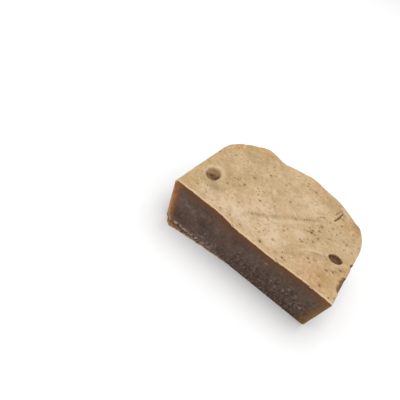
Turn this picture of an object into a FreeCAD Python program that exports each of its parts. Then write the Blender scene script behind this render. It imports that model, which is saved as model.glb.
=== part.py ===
import FreeCAD, Part
import math
import os

# Bar of soap: one half of a loaf cast in an open tub and cut across with a knife.
# Millimetres. +X along the cut face, +Y towards the rounded moulded end, +Z up.

V = FreeCAD.Vector

# The cast
length = 86.0          # along X, side wall to side wall, at the rim
width = 64.0           # along Y, cut face to moulded end, at the rim
thick_left = 24.1      # the soap set a little out of level: thicker at the -X side
thick_right = 22.1
draft = 6.3            # degrees, every moulded wall opens upwards
corner_radius = 25.0   # plan radius of the two moulded corners, at the rim
end_bulge = 1.0        # the moulded end bows outwards by this at its middle
foot_round = 6.0       # rounding between the wall and the base, round the moulded end
foot_round_cut = 1.1   # the same rounding where it runs out at the cut face
foot_grows = (-14.0, 20.0)   # along Y, where it opens out from the one to the other
rim_round = 0.8        # the skin breaks over the rim by this much, down and in
left_swell = 1.0       # the -X wall bows out by this at the cut, below a rim that keeps its line
swell_run = 22.0       # and dies away over this length

# Waves of the rim at the moulded end: where along X, how far out, how wide
rim_waves = [(-26.0, 1.2, 5.0), (-14.5, -1.9, 6.0), (4.0, 1.3, 6.5), (28.0, -1.2, 6.0), (36.8, 1.5, 2.8)]

# Swells and hollows of the set surface: x, y, height, spread in x, spread in y
top_swells = [
    (6.0, -34.0, -1.35, 13.0, 15.0),     # long hollow that the cut runs through
    (-7.5, -34.0, -0.75, 5.0, 12.0),     # its steep left end
    (-21.0, -33.0, 0.45, 5.5, 9.0),
    (-26.0, 17.0, -0.7, 9.0, 8.0),       # hollow by the far left corner
    (-12.0, 27.0, -0.5, 6.0, 6.0),
    (4.0, 31.0, 0.7, 8.0, 5.0),
    (18.0, 4.0, 0.35, 12.0, 9.0),
    (-8.0, 0.0, -0.25, 7.0, 8.0),
]
# Soft fold across the middle of the surface
fold_from, fold_to = (-8.0, -18.0), (19.0, 9.0)
fold_height, fold_spread, fold_fade = 0.3, 2.2, 6.0

# Burst bubble: a low round ring with a dimple in it
bubble_at = (-34.3, -14.0)
bubble_ring, bubble_bead = 4.5, 0.9   # radius of the ring and of its bead
bubble_swell = 0.45                   # how far the ring stands up
bubble_mouth, bubble_depth = 4.0, 1.5

# Open pocket, pointed at both ends
pocket_at = (34.4, -8.3)
pocket_length, pocket_width, pocket_depth = 7.4, 4.7, 1.7
pocket_turn = 18.5     # degrees from +X
pocket_spare = 1.1     # it opens a little above the surface, so it is cut this much larger

# Pieces broken out of the rim of the +X side: y at the middle, length, reach in from the rim, depth
rim_chips = [(-19.8, 10.4, 1.9, 0.9), (-4.6, 3.4, 1.5, 0.8)]
# Nicks in the rim of the cut: x, length, depth
cut_nicks = [(31.4, 2.2, 0.7), (-10.5, 1.8, 0.5)]

# Drying crack by the far right corner
crack_from, crack_to = (25.0, 15.4), (26.8, 24.2)
crack_width, crack_depth = 0.7, 0.6

# Torn lip: the knife stopped short and the last of the base tore away with this half.
# Its torn edge: along X, and out of the cut face.
lip_edge_line = [(-40.9, 0.8), (-38.6, 3.0), (-36.5, 4.4), (-32.5, 3.4), (-27.5, 2.9),
                 (-20.5, 2.0), (-12.0, 1.0), (-3.5, 0.0)]
lip_root, lip_edge = 1.3, 0.7   # thickness at the cut face and at the torn edge
lip_anchor = 2.0                # it is rooted this far inside the bar

half = length / 2
y_cut, y_end = -width / 2, width / 2
lean = math.tan(math.radians(draft))
mid_thick = (thick_left + thick_right) / 2
fall = (thick_left - thick_right) / length
# The block is first made larger than the bar, then trimmed
z_over = max(thick_left, thick_right) + 4.0
overrun = 5.0          # the walls run on past the cut
clearance = 6.0        # what trims the block reaches this far past it
grid_step = 4.0        # spacing of the points that the set surface passes through
side_steps, corner_steps, end_steps, foot_bands = 3, 7, 12, 3


def bell(t):
    return math.exp(-t * t)


def foot_radius(y):
    """The rounding of the foot is small at the cut and opens out round the moulded end."""
    t = min(1.0, max(0.0, (y - foot_grows[0]) / (foot_grows[1] - foot_grows[0])))
    return foot_round_cut + (foot_round - foot_round_cut) * t * t * (3 - 2 * t)


def swell(x, y):
    return left_swell * bell((y - y_cut) / swell_run) if x < 0 else 0.0


def plan_spots():
    """Places round the moulded walls with their outward directions, from -X round the end to +X."""
    hx, r = half, corner_radius
    spots = []
    for k in range(side_steps):
        spots.append((-hx, y_cut - overrun + (y_end - r - y_cut + overrun) * k / side_steps, -1.0, 0.0))
    for k in range(corner_steps + 1):
        turn = math.pi / 2 * k / corner_steps
        spots.append((-hx + r - r * math.cos(turn), y_end - r + r * math.sin(turn),
                      -math.cos(turn), math.sin(turn)))
    left_part = list(spots)
    for k in range(1, end_steps):
        spots.append(((r - hx) * (1 - 2 * k / end_steps), y_end, 0.0, 1.0))
    return spots + [(-x, y, -nx, ny) for x, y, nx, ny in reversed(left_part)]


def wall_points(height, tuck):
    """The wall's outline where height and tuck, functions of x and y, say how high and how far in."""
    pts = []
    for x, y, nx, ny in plan_spots():
        z = height(x, y)
        out = end_bulge * max(0.0, 1 - (x / (half - corner_radius * 0.4)) ** 2) * ny
        out += swell(x, y) * abs(nx) - (mid_thick - z) * lean - tuck(x, y)
        for wx, w_out, spread in rim_waves:
            out += z / mid_thick * w_out * bell((x - wx) / spread) * ny
        pts.append(V(x + nx * out, y + ny * out, z))
    return pts


def curve(pts):
    line = Part.BSplineCurve()
    line.interpolate(Points=pts, Parameters=[float(k) for k in range(len(pts))])
    return line.toShape()


def section(height, tuck):
    pts = wall_points(height, tuck)
    return Part.Wire([curve(pts), Part.makeLine(pts[-1], pts[0])])


def foot_section(degrees):
    """Section of the block where the foot's rounding has turned this far from flat to upright."""
    a = math.radians(degrees)
    return section(lambda x, y: foot_radius(y) * (1 - math.cos(a)),
                   lambda x, y: foot_radius(y) * (1 - math.sin(a)))


def cast_block():
    turns = [90.0 * k / foot_bands for k in range(foot_bands + 1)]
    brim = section(lambda x, y: z_over, lambda x, y: 0.0)
    return Part.makeLoft([foot_section(t) for t in turns] + [brim], True, True)


def surface_height(x, y):
    z = mid_thick - fall * x
    for sx, sy, h, wx, wy in top_swells:
        z += h * bell(math.hypot((x - sx) / wx, (y - sy) / wy))
    fx, fy = fold_to[0] - fold_from[0], fold_to[1] - fold_from[1]
    run = math.hypot(fx, fy)
    along = ((x - fold_from[0]) * fx + (y - fold_from[1]) * fy) / run
    off = ((x - fold_from[0]) * -fy + (y - fold_from[1]) * fx) / run
    past_end = max(0.0, abs(along - run / 2) - run / 2)
    return z + fold_height * bell(off / fold_spread) * bell(past_end / fold_fade)


def above_surface():
    """Everything over the set surface."""
    nx = round((length + 2 * clearance) / grid_step)
    ny = round((width + 2 * clearance) / grid_step)
    xs = [(length + 2 * clearance) * (i / nx - 0.5) for i in range(nx + 1)]
    ys = [(width + 2 * clearance) * (j / ny - 0.5) for j in range(ny + 1)]
    sheet = Part.BSplineSurface()
    sheet.interpolate([[V(x, y, surface_height(x, y)) for y in ys] for x in xs])
    return sheet.toShape().extrude(V(0, 0, 4 * clearance))


def above_rim():
    """Everything over a sloping band that follows the rim from outside the wall to over the surface."""
    outside, inside = 1.0, 3.0

    def line(rise):
        return curve(wall_points(lambda x, y: surface_height(x, y) - rim_round - swell(x, y) + rise,
                                 lambda x, y: rise))

    low, high = line(-outside), line(inside)
    return Part.makeRuledSurface(low, high).extrude(V(0, 0, 4 * clearance))


def beyond_cut():
    """Everything on the far side of the knife."""
    reach = overrun + clearance
    return Part.makeBox(length + 2 * clearance, reach, z_over + 2 * clearance,
                        V(-half - clearance, y_cut - reach, -clearance))


def spindle(at, direction, run, across):
    """A solid pointed at both ends, round its long axis."""
    d = V(*direction).normalize()
    side = d.cross(V(0, 0, 1)).normalize()
    at = V(*at)
    p, q = at - d * (run / 2), at + d * (run / 2)
    arc = Part.Arc(p, at + side * (across / 2), q).toShape()
    return Part.Face(Part.Wire([arc, Part.makeLine(q, p)])).revolve(at, d, 360)


def split(at, direction, run, across, deep):
    """A four-sided wedge with its point down, run by across where it meets the surface."""
    d = V(*direction).normalize()
    side = d.cross(V(0, 0, 1)).normalize()
    up = V(0, 0, deep)
    # It stands as far over the surface as under it, so its open side is twice as large
    p, q = V(*at) + up - d * run, V(*at) + up + d * run
    a, b = V(*at) + up + side * across, V(*at) + up - side * across
    tip = V(*at) - up
    loops = [(p, a, q, b), (a, p, tip), (q, a, tip), (b, q, tip), (p, b, tip)]
    return Part.Solid(Part.Shell([Part.Face(Part.makePolygon([*loop, loop[0]])) for loop in loops]))


def torn_lip():
    edge = [V(x, y_cut - out, 0) for x, out in lip_edge_line]
    inside = [V(p.x, y_cut + lip_anchor, 0) for p in (edge[-1], edge[0])]
    plate = Part.Face(Part.makePolygon(edge + inside + [edge[0]])).extrude(V(0, 0, lip_root))
    reach = max(out for x, out in lip_edge_line)
    side_view = [(0, lip_root), (reach, lip_edge), (reach, lip_root), (0, lip_root)]
    over = Part.Face(Part.makePolygon([V(-half, y_cut - out, z) for out, z in side_view]))
    return plate.cut(over.extrude(V(length, 0, 0)))


def bubble_parts():
    """The burst bubble's ring, which is added, and its dimple, which is taken out."""
    x, y = bubble_at
    z = surface_height(x, y)
    ring = Part.makeTorus(bubble_ring, bubble_bead, V(x, y, z + bubble_swell - bubble_bead))
    deep = bubble_depth + bubble_swell
    r = (bubble_mouth ** 2 + deep ** 2) / (2 * deep)
    return ring, Part.makeSphere(r, V(x, y, z - bubble_depth + r))


def pocket():
    x, y = pocket_at
    turn = math.radians(pocket_turn)
    lift = pocket_width / 2 - pocket_depth
    return spindle((x, y, surface_height(x, y) + lift), (math.cos(turn), math.sin(turn), -fall),
                   pocket_length * pocket_spare, pocket_width * pocket_spare)


def breakages():
    """Chips of the moulded rim, nicks of the cut rim and the drying crack."""
    for y, run, reach, deep in rim_chips:
        yield split((half, y, surface_height(half, y)), (0, 1, 0), run, 2 * reach, deep)
    for x, run, deep in cut_nicks:
        yield split((x, y_cut, surface_height(x, y_cut)), (1, 0, 0), run, run, deep)
    dx, dy = crack_to[0] - crack_from[0], crack_to[1] - crack_from[1]
    x, y = crack_from[0] + dx / 2, crack_from[1] + dy / 2
    yield split((x, y, surface_height(x, y)), (dx, dy, 0), math.hypot(dx, dy), crack_width, crack_depth)


# The cast, trimmed, then what happened to it
body = cast_block()
for trim in (above_surface(), above_rim(), beyond_cut()):
    body = body.cut(trim)
ring, dimple = bubble_parts()
for added in (torn_lip(), ring):
    body = body.fuse(added)
for lost in [dimple, pocket(), *breakages()]:
    body = body.cut(lost)
body = body.removeSplitter().Solids[0]

# The origin is under the middle of the bounding box, on the plane of the base
box = body.optimalBoundingBox(False, False)
body.translate(V(-(box.XMin + box.XMax) / 2, -(box.YMin + box.YMax) / 2, 0))

os.makedirs("parts", exist_ok=True)
body.exportStep("parts/soap_bar.step")
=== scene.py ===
import math

import bpy
import numpy as np
from mathutils import Matrix, Vector


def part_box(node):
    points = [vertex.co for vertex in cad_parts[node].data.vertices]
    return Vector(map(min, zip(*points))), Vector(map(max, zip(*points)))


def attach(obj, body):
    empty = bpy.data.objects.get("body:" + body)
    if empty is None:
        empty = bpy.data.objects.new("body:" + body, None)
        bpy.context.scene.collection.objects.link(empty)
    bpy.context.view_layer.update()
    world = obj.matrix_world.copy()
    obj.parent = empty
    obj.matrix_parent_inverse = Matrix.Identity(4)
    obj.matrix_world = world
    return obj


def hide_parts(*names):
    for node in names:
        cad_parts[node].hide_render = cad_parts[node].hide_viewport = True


# A bar of handmade soap: cast in an open tub, cut across with a knife, dried on top.
# Sizes are millimetres, and the cast's own centre is the zero of x and y until the mesh is made.

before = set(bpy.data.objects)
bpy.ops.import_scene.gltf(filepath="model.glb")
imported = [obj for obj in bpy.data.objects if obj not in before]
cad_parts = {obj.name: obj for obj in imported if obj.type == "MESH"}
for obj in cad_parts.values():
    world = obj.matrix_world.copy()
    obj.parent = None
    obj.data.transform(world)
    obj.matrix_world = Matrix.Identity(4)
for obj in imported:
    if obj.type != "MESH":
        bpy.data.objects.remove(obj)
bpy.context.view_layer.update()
MM = 0.001
low_corner, high_corner = (np.array(c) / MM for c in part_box("soap_bar"))

# The cast
length, width = 86.0, 64.0
thick_left, thick_right = 24.1, 22.1
draft = 6.3                             # degrees, every moulded wall opens upwards
corner = 25.0
end_bulge, bulge_margin = 1.0, 10.0     # the moulded end bows out, but not this close to the side walls
left_swell, swell_run = 1.0, 22.0       # the -X wall bows out below its rim, most at the cut
foot_round, foot_round_cut, foot_grows = 6.0, 1.1, (-14.0, 20.0)
rim_waves = [(-26.0, 1.2, 5.0), (-14.5, -1.9, 6.0), (4.0, 1.3, 6.5), (28.0, -1.2, 6.0), (36.8, 1.5, 2.8)]
# How deep the moulded wall wanders, its dints go and the rim is ragged
wall_wander, wall_dints, rim_rag = 0.05, 0.22, 0.14
# Rounding of the rim, what the far -X corner has more, and that corner: x, y, spread in x, spread in y
rim_round, far_round, far_corner = 0.75, 0.85, (-37, 24, 22, 22)

half = length / 2
y_cut, y_end = -width / 2, width / 2
lean = math.tan(math.radians(draft))
mid_thick, fall = (thick_left + thick_right) / 2, (thick_left - thick_right) / length
# Runs along the rim: a side wall, a corner, the end between the corners, and all of it
side_run, corner_run, end_run = y_end - corner - y_cut, corner * math.pi / 2, length - 2 * corner
wall_run = 2 * (side_run + corner_run) + end_run

# Swells and hollows of the set surface: x, y, height, spread in x, spread in y
top_swells = [
    (6.0, -34.0, -1.35, 13.0, 15.0), (-7.5, -34.0, -0.75, 5.0, 12.0), (-21.0, -33.0, 0.45, 5.5, 9.0),
    (-26.0, 17.0, -0.7, 9.0, 8.0), (-12.0, 27.0, -0.5, 6.0, 6.0), (4.0, 31.0, 0.7, 8.0, 5.0),
    (18.0, 4.0, 0.35, 12.0, 9.0), (-8.0, 0.0, -0.25, 7.0, 8.0),
]
headroom = 0.3                          # nothing on the skin is higher over the highest swell
# Fine relief of the dried film: height, size of its lumps, seed, layers
film_relief = [(0.10, 11.0, 71, 3), (0.045, 2.6, 75, 2), (0.02, 0.9, 79, 1)]
# Soft folds of the skin: from, to, height, spread, fade at the ends, how much painted shade it lays on one
# flank
folds = [
    ((-8.0, -18.0), (18.0, 8.0), 0.42, 1.9, 5.0, 0.75),
    ((-9.3, 4.3), (-0.8, -6.8), 0.12, 0.7, 2.0, 0.8),
    ((14.0, -25.0), (29.0, -11.0), 0.34, 1.2, 3.0, 0.55),
    ((28.0, 8.5), (41.0, 5.5), 0.10, 1.2, 3.0, 0.3),
    ((24.3, -13.7), (27.7, -12.1), 0.10, 1.3, 0.9, 1.4),
]
# Painted highlights along the folds' crests: from, to, spread, amount
crest_highlights = [((19.6, -15.7), (30.1, -9.0), 0.9, 0.5), ((-2.8, -17.7), (11.7, -2.7), 1.3, 0.5)]
# Drying cracks: from, to, width, depth
cracks = [
    ((24.6, 15.6), (26.4, 24.4), 0.55, 0.55),
    ((23.2, 20.2), (25.0, 25.7), 0.42, 0.36),
    ((26.0, 21.0), (28.0, 20.7), 0.42, 0.34),
]
# How far such a line sways to either side, over what length, and the seed of its way
fold_sway, crest_sway, crack_sway = (0.5, 7.0, 41), (0.4, 5.0, 47), (0.35, 2.0, 91)

bubble_at, bubble_ring, bubble_mouth = (-34.3, -14.0), 4.6, 4.1
bubble_squeeze = (1.12, 0.89)           # it burst a little longer along Y than along X
bubble_bead, bead_spread = 0.40, 0.95
bubble_depth, bubble_slope = 1.0, 2.2
# The burst bubble's far side is painted lighter, as if lit: its inner wall and its bead
bubble_lit_way = (-0.57, 0.82)              # towards the higher wall of the burst bubble
# Its deepest places: x, y, spread
bubble_pits = [(-35.0, -13.9, 1.1), (-32.7, -14.1, 1.2), (-34.3, -12.3, 0.7)]
pit_depth = 0.5
pocket_at, pocket_turn = (34.3, -7.9), math.radians(18.5)
pocket_half_length, pocket_half_width, pocket_depth, pocket_slope = 3.9, 2.75, 1.6, 0.8
# Pieces broken out of the +X rim: y at the middle, length, reach in from the rim, depth
rim_chips = [(-19.2, 11.0, 2.5, 0.8), (-4.8, 3.2, 1.8, 0.9)]
chip_slope = 1.3
# Nicks in the rim of the cut: x, length, depth
cut_nicks = [(31.4, 1.8, 0.55), (-10.5, 1.8, 0.5), (13.6, 1.5, 0.4)]
# Rubbed corner of the rim, and the notch beside it: x, y, spread in x, spread in y
rubbed_corner, rub_depth, rub_grain = (35.2, 21.4, 3.6, 2.6), 0.25, 0.15
rim_notch, notch_depth = (33.8, 25.0, 2.4, 2.2), 0.7

# Grey strokes and pale grains on the cut: x, z, spread in x, spread in z, amount
cut_strokes = [(-36.0, 15.6, 2.2, 1.6, 0.8), (-33.0, 14.6, 2.4, 1.2, 0.9), (-30.0, 14.0, 1.8, 1.2, 0.9),
               (-24.0, 15.8, 2.0, 1.2, 0.6), (-17.0, 13.5, 3.5, 3.0, 0.4), (5.0, 13.0, 5.0, 4.0, 0.35)]
cut_flecks = [(17.1, 9.8, 0.4, 0.5, 0.8), (23.9, 9.6, 0.45, 0.8, 0.7), (34.3, 7.8, 0.45, 0.55, 1.0),
              (25.6, 12.7, 0.5, 0.8, 0.6), (20.1, 8.3, 0.4, 0.5, 0.8), (11.0, 16.5, 0.6, 0.5, 0.7),
              (-1.0, 9.0, 0.4, 0.5, 0.7), (30.0, 11.5, 0.5, 0.5, 0.5), (-19.6, 6.8, 0.4, 0.5, 0.6),
              (-20.3, 4.2, 0.6, 0.5, 0.8), (-19.0, 4.5, 0.4, 0.4, 0.7), (-22.0, 3.5, 0.5, 0.4, 0.6),
              (-16.7, 3.6, 0.5, 0.4, 0.5), (-14.4, 3.4, 0.4, 0.5, 0.6), (-12.4, 5.0, 0.4, 0.7, 0.5)]
gritty_foot = (-16, 3, 9, 4.5)          # the roughest part of the cut: x, z, spread in x, spread in z
foot_rind = 2.2                         # how much wider the orange rind is at the foot of the -X end
# Depths on the cut: long drags of the knife, fine ones, torn grain, and its largest lumps
long_drags, fine_drags, torn_grain, torn_lumps = 0.16, 0.05, 0.10, 0.40

# Torn lip at the foot of the cut: along X, and out of the cut face
lip_line = [(-40.4, 0.6), (-38.6, 3.0), (-36.5, 4.4), (-32.5, 3.4), (-27.5, 2.9), (-20.5, 2.0),
            (-12.0, 1.0), (-3.5, 0.0)]
lip_root, lip_edge = 1.3, 0.7
lip_flare, flare_reach = 0.64, 1.8      # share of the lip that the bent cut face takes up, and its most
flare_spread = 1.9                      # how high up the cut face bends
burr_height, burr_rise = 0.35, 0.3      # how far the burr stands out, and where it is over the lip's root
lip_ragged, lip_grain, lip_holes = 0.18, 0.30, 0.45
lip_blend = 1.2                         # the lip dies out this far from both walls
lip_share = 0.7                         # of the foot's rings, those that go out over the lip

# Where the cast's centre lies in the frame: the +X wall and the lip reach this far from it
wall_reach, lip_reach = 42.83, max(out for _, out in lip_line)
shift = np.array([high_corner[0] - wall_reach, low_corner[1] - y_cut + lip_reach, 0.0])

# Larger specks on the skin: x, y, radius
large_specks = [
    (21.0, 4.5, 0.75), (18.7, -3.6, 0.80), (21.2, 0.6, 0.45), (22.7, -4.0, 0.50), (16.9, -4.3, 0.40),
    (19.4, 11.7, 0.50), (17.8, 10.1, 0.40), (17.0, 7.9, 0.40), (23.4, 11.8, 0.35), (21.7, -8.1, 0.40),
    (26.8, 0.6, 0.35), (17.4, -12.6, 0.45), (23.9, -18.9, 0.50), (25.3, -20.5, 0.40), (33.3, -17.8, 0.50),
    (36.2, -15.9, 0.50), (38.7, -12.1, 0.60), (37.2, -14.6, 0.35), (34.1, -28.0, 0.60), (35.4, 5.2, 0.40),
    (39.3, 3.2, 0.35), (35.6, 14.7, 0.35), (28.9, 15.3, 0.40), (8.8, 25.4, 0.55), (20.5, -3.5, 0.40),
    (13.4, 1.6, 0.35), (18.7, -2.0, 0.50), (16.8, -1.6, 0.35), (-19.3, 3.5, 0.65), (-20.3, -5.6, 0.70),
    (-28.5, 11.8, 0.35), (-9.5, -8.0, 0.55), (-26.4, -12.9, 0.45), (-8.0, -18.9, 0.35), (-8.5, -28.7, 0.35),
    (-19.8, -19.0, 0.30), (-19.9, -29.5, 0.35), (-25.9, -5.9, 0.35), (-24.9, -17.6, 0.30),
    (-35.7, -26.0, 0.30), (-14.3, -1.7, 0.30), (-34.8, 8.8, 0.30), (-14.7, -28.6, 0.35), (2.8, -28.7, 0.65),
    (6.7, -23.2, 0.40), (-14.4, 13.5, 0.40), (-5.3, 14.3, 0.35), (1.9, 5.5, 0.50), (14.7, -28.3, 0.60),
    (-1.6, -14.5, 0.30), (8.2, -14.1, 0.35), (-2.1, -24.4, 0.30), (-2.4, -4.4, 0.30), (-13.2, 2.4, 0.30),
]

# Soft changes of colour on the skin: x, y, spread in x, spread in y, amount
patches = {
    "greyed": [(-26, 18, 9, 7, 0.9), (-29, -20, 4.5, 4.5, 0.75), (-34, -12, 6, 5, 0.5), (-15, 8, 9, 8, 0.35),
               (2, -9, 7, 5, 0.2), (12, 1, 6, 5, 0.2), (24, 3, 7, 6, 0.35), (-25, -5, 6, 7, 0.45),
               (-6, 18, 6, 5, 0.35), (3, 23, 6, 4, 0.4), (19, 25, 6, 4, 0.45), (35, 9, 4, 6, 0.35),
               (32, -15, 5, 4, 0.35)],
    "warmed": [(-36, 21, 5, 9, 1.0), (-27, 27, 9, 4, 1.0), (-41, 2, 3, 16, 0.5), (33, -24, 8, 7, 0.95),
               (20, -18, 9, 4, 0.45), (11, 31, 9, 4, 0.7), (36, 21, 5, 4, 0.9), (-39, -30, 4, 5, 0.6),
               (41, -10, 3, 16, 0.5), (-27, -6, 5, 5, 0.6), (19, 25, 7, 4, 0.35), (32, -13, 5, 4, 0.4),
               (33, 18, 4, 4, 0.5)],
    "paled": [(-6, -11, 9, 7, 0.9), (10, 10, 14, 10, 0.5), (-14, -24, 13, 6, 0.8), (37, 5, 6, 9, 0.5),
              (6, -22, 10, 7, 0.9), (24, 12, 7, 5, 0.4), (5, 1, 6, 6, 0.5), (5, -15, 6, 5, 0.8),
              (14, -10, 6, 5, 0.55)],
    # Dusky patches are stains, and at (26, -15) painted shade under the welt fold
    "dusky": [(-29.4, -20.2, 3.6, 2.2, 0.75), (-36.5, -19.5, 2.0, 2.0, 0.35), (35.2, 23.4, 3.0, 2.6, 1.3),
              (36.6, 20.2, 2.2, 3.0, 0.9), (-28.5, -7.5, 5.0, 4.0, 0.4), (-22.0, 1.5, 5.0, 4.0, 0.25),
              (18.7, 25.5, 6.0, 3.5, 0.25), (33.0, -22.5, 5.0, 5.0, 0.25), (31.0, 18.0, 3.5, 4.0, 0.3),
              (35.0, 9.0, 3.5, 5.0, 0.2), (16.5, -22.4, 3.0, 1.8, 0.5), (26.0, -15.0, 4.0, 1.2, 0.45),
              (31.5, -14.0, 4.5, 4.0, 0.22)],
    "rosy": [(10.7, 30.2, 5, 2.5, 0.9), (27, -28, 6, 4, 0.4), (22, -20, 6, 3, 0.2), (-12, -12, 7, 5, 0.25)],
}
patch_seeds = {"greyed": 161, "warmed": 165, "paled": 169, "dusky": 173, "rosy": 177}
# Where small specks crowd on the skin: x, y, spread in x, spread in y, amount
speck_crowds, specks_elsewhere = [(24, 6, 10, 9, 0.9), (34, -16, 8, 7, 0.5)], 0.35

# The mesh: cells of the top along X and along Y, and rings down the wall and round the foot
cells_x, cells_y, wall_rings, foot_rings = 256, 180, 38, 11
cell_crowding, ring_crowding = 0.36, 0.45
sharp_from = 48.0                       # degrees between two faces whose edge is drawn sharp
# Stations on the top's edge: up the -X side, along the end, down the +X side, and back along the cut
edge_i, edge_j = np.array(
    [(0, j) for j in range(cells_y + 1)] + [(i, cells_y) for i in range(1, cells_x + 1)]
    + [(cells_x, j) for j in range(cells_y - 1, -1, -1)] + [(i, 0) for i in range(cells_x - 1, 0, -1)]).T
last_moulded = 2 * cells_y + cells_x
moulded, cut = np.arange(last_moulded + 1), np.arange(last_moulded + 1, len(edge_i))
# Finishes of the cast, in the order of its material slots
SKIN, CORE, WALL, TORN = range(4)
far_off = 30.0                          # stands for a distance on points where it has no use


# Form of the cast

def bell(t):
    return np.exp(-t * t)


def ease(t):
    t = np.clip(t, 0.0, 1.0)
    return t * t * (3 - 2 * t)


def spot(x, y, at_x, at_y, wide, high):
    """A soft oval spot, 1 at its middle."""
    return bell(np.hypot((x - at_x) / wide, (y - at_y) / high))


def lumps(x, y, size, seed):
    """Smooth random heights from -1 to 1, with lumps about size across, others for each seed."""
    table = np.random.default_rng(seed).uniform(-1, 1, (128, 128))
    u, v = np.asarray(x, float) / size + 500.3, np.asarray(y, float) / size + 500.7
    i, j = np.floor(u).astype(int), np.floor(v).astype(int)
    fu, fv = ease(u - i), ease(v - j)
    near = table[i % 128, j % 128] * (1 - fu) + table[(i + 1) % 128, j % 128] * fu
    far = table[i % 128, (j + 1) % 128] * (1 - fu) + table[(i + 1) % 128, (j + 1) % 128] * fu
    return near * (1 - fv) + far * fv


def rough(x, y, size, seed, layers=3):
    """Lumps with finer lumps on them."""
    return sum(0.5 ** k * lumps(x, y, size / 2 ** k, seed + k) for k in range(layers))


def off_line(x, y, start, stop, sway, size, seed):
    """Distance to one side of a line that sways as it goes, and distance past its ends."""
    dx, dy = stop[0] - start[0], stop[1] - start[1]
    run = math.hypot(dx, dy)
    along = ((x - start[0]) * dx + (y - start[1]) * dy) / run
    off = ((x - start[0]) * -dy + (y - start[1]) * dx) / run
    return off + sway * lumps(x, y, size, seed), np.maximum(0.0, np.abs(along - run / 2) - run / 2)


def plan(s):
    """Place and outward direction at s round the moulded wall, from the cut at -X to the cut at +X."""
    m = np.minimum(s, wall_run - s)
    turn = np.clip((m - side_run) / corner, 0.0, math.pi / 2)
    x = -half + corner * (1 - np.cos(turn)) + np.maximum(0.0, m - side_run - corner_run)
    y = y_cut + np.minimum(m, side_run) + corner * np.sin(turn)
    flip = np.where(s > wall_run / 2, -1.0, 1.0)
    return x * flip, y, -np.cos(turn) * flip, np.sin(turn)


def swell(x, y):
    return left_swell * bell((y - y_cut) / swell_run) * (x < 0)


def foot_radius(y):
    """The rounding of the foot is small at the cut and opens out round the moulded end."""
    grown = ease((y - foot_grows[0]) / (foot_grows[1] - foot_grows[0]))
    return foot_round_cut + (foot_round - foot_round_cut) * grown


def wall(s, z, tuck=0.0):
    """The moulded wall at s and height z, drawn in by tuck."""
    x, y, nx, ny = plan(s)
    bulge = end_bulge * np.maximum(0.0, 1 - (x / (half - bulge_margin)) ** 2) * ny
    out = bulge - (mid_thick - z) * lean - tuck + swell(x, y) * np.abs(nx)
    for wave_x, wave_out, spread in rim_waves:
        out = out + z / mid_thick * wave_out * bell((x - wave_x) / spread) * ny
    # The tub's wall leaves the soap smooth, with shallow dints, and the rim comes out ragged
    out = out - wall_wander * (1 + rough(s, z, 9.0, 11))
    out = out - wall_dints * np.maximum(0.0, rough(s, z, 2.4, 21) - 0.75)
    near_rim = ease((z - mid_thick + 3.5) / 3.0) * ease((s - 1.0) / 3.0) * ease((wall_run - s - 1.0) / 3.0)
    out = out - rim_rag * near_rim * (1 + rough(s, 0 * s, 3.4, 31))
    return x + nx * out, y + ny * out


def set_surface(x, y):
    """Height of the set surface with its swells and folds."""
    z = mid_thick - fall * x
    for at_x, at_y, height, wide, high in top_swells:
        z = z + height * spot(x, y, at_x, at_y, wide, high)
    for start, stop, height, spread, fade, _ in folds:
        off, past = off_line(x, y, start, stop, *fold_sway)
        z = z + height * bell(off / spread) * bell(past / fade)
    return z


def from_bubble(x, y):
    """Distance from the bubble's middle, squeezed to its oval."""
    aside, ahead = (x - bubble_at[0]) * bubble_squeeze[0], (y - bubble_at[1]) * bubble_squeeze[1]
    return np.hypot(aside, ahead) + 0.35 * lumps(x, y, 2.2, 51)


def bubble_pitted(x, y):
    """Where the burst bubble is deepest, 0 to 1."""
    return np.max([spot(x, y, at_x, at_y, spread, spread) for at_x, at_y, spread in bubble_pits], axis=0)


def pocket_inside(x, y):
    """How far a place is inside the pocket, whose outline is two arcs that meet in points."""
    c, s = math.cos(pocket_turn), math.sin(pocket_turn)
    p = (x - pocket_at[0]) * c + (y - pocket_at[1]) * s
    q = (y - pocket_at[1]) * c - (x - pocket_at[0]) * s
    r = (pocket_half_length ** 2 + pocket_half_width ** 2) / (2 * pocket_half_width)
    return r - np.hypot(p, np.abs(q) + r - pocket_half_width)


def chip_inside(y, to_rim):
    """How far a place is inside a piece broken out of the +X rim, with the piece's depth there."""
    inside, deep = np.full(np.shape(y), -9.0), np.zeros(np.shape(y))
    ragged = 1 + 0.25 * lumps(y, 0 * y, 1.6, 61)
    for at, run, reach, depth in rim_chips:
        here = reach * np.sqrt(np.clip(1 - ((y - at) / (run / 2)) ** 2, 0, 1)) * ragged - to_rim
        deep = np.where(here > inside, depth, deep)
        inside = np.maximum(inside, here)
    return inside, deep


def skin_relief(x, y, to_rim):
    """What stands on or is sunk in the dried skin, over the set surface."""
    z = sum(height * rough(x, y, *grain) for height, *grain in film_relief)
    d = from_bubble(x, y)
    z = z + bubble_bead * bell((d - bubble_ring - 0.3) / bead_spread)
    deep = bubble_depth + 0.35 * lumps(x, y, 1.3, 81) + pit_depth * bubble_pitted(x, y)
    z = z - ease((bubble_mouth + 0.3 - d) / bubble_slope) * deep
    z = z - pocket_depth * ease(pocket_inside(x, y) / pocket_slope) * (1 + 0.12 * lumps(x, y, 1.2, 85))
    for start, stop, wide, deep in cracks:
        off, past = off_line(x, y, start, stop, *crack_sway)
        z = z - deep * bell(off / (wide * 0.6)) * bell(past / 0.8)
    z = z - spot(x, y, *rubbed_corner) * (rub_depth + rub_grain * rough(x, y, 1.2, 95))
    z = z - notch_depth * spot(x, y, *rim_notch)
    inside, deep = chip_inside(y, to_rim)
    z = np.where(x > 0, z - deep * ease(inside / chip_slope) * (1 + 0.2 * lumps(x, y, 1.1, 97)), z)
    for at, run, deep in cut_nicks:
        wedge = np.maximum(0.0, 1 - np.abs(x - at) / (run / 2)) * np.maximum(0.0, 1 - (y - y_cut) / run)
        z = z - deep * wedge
    return z


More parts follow.
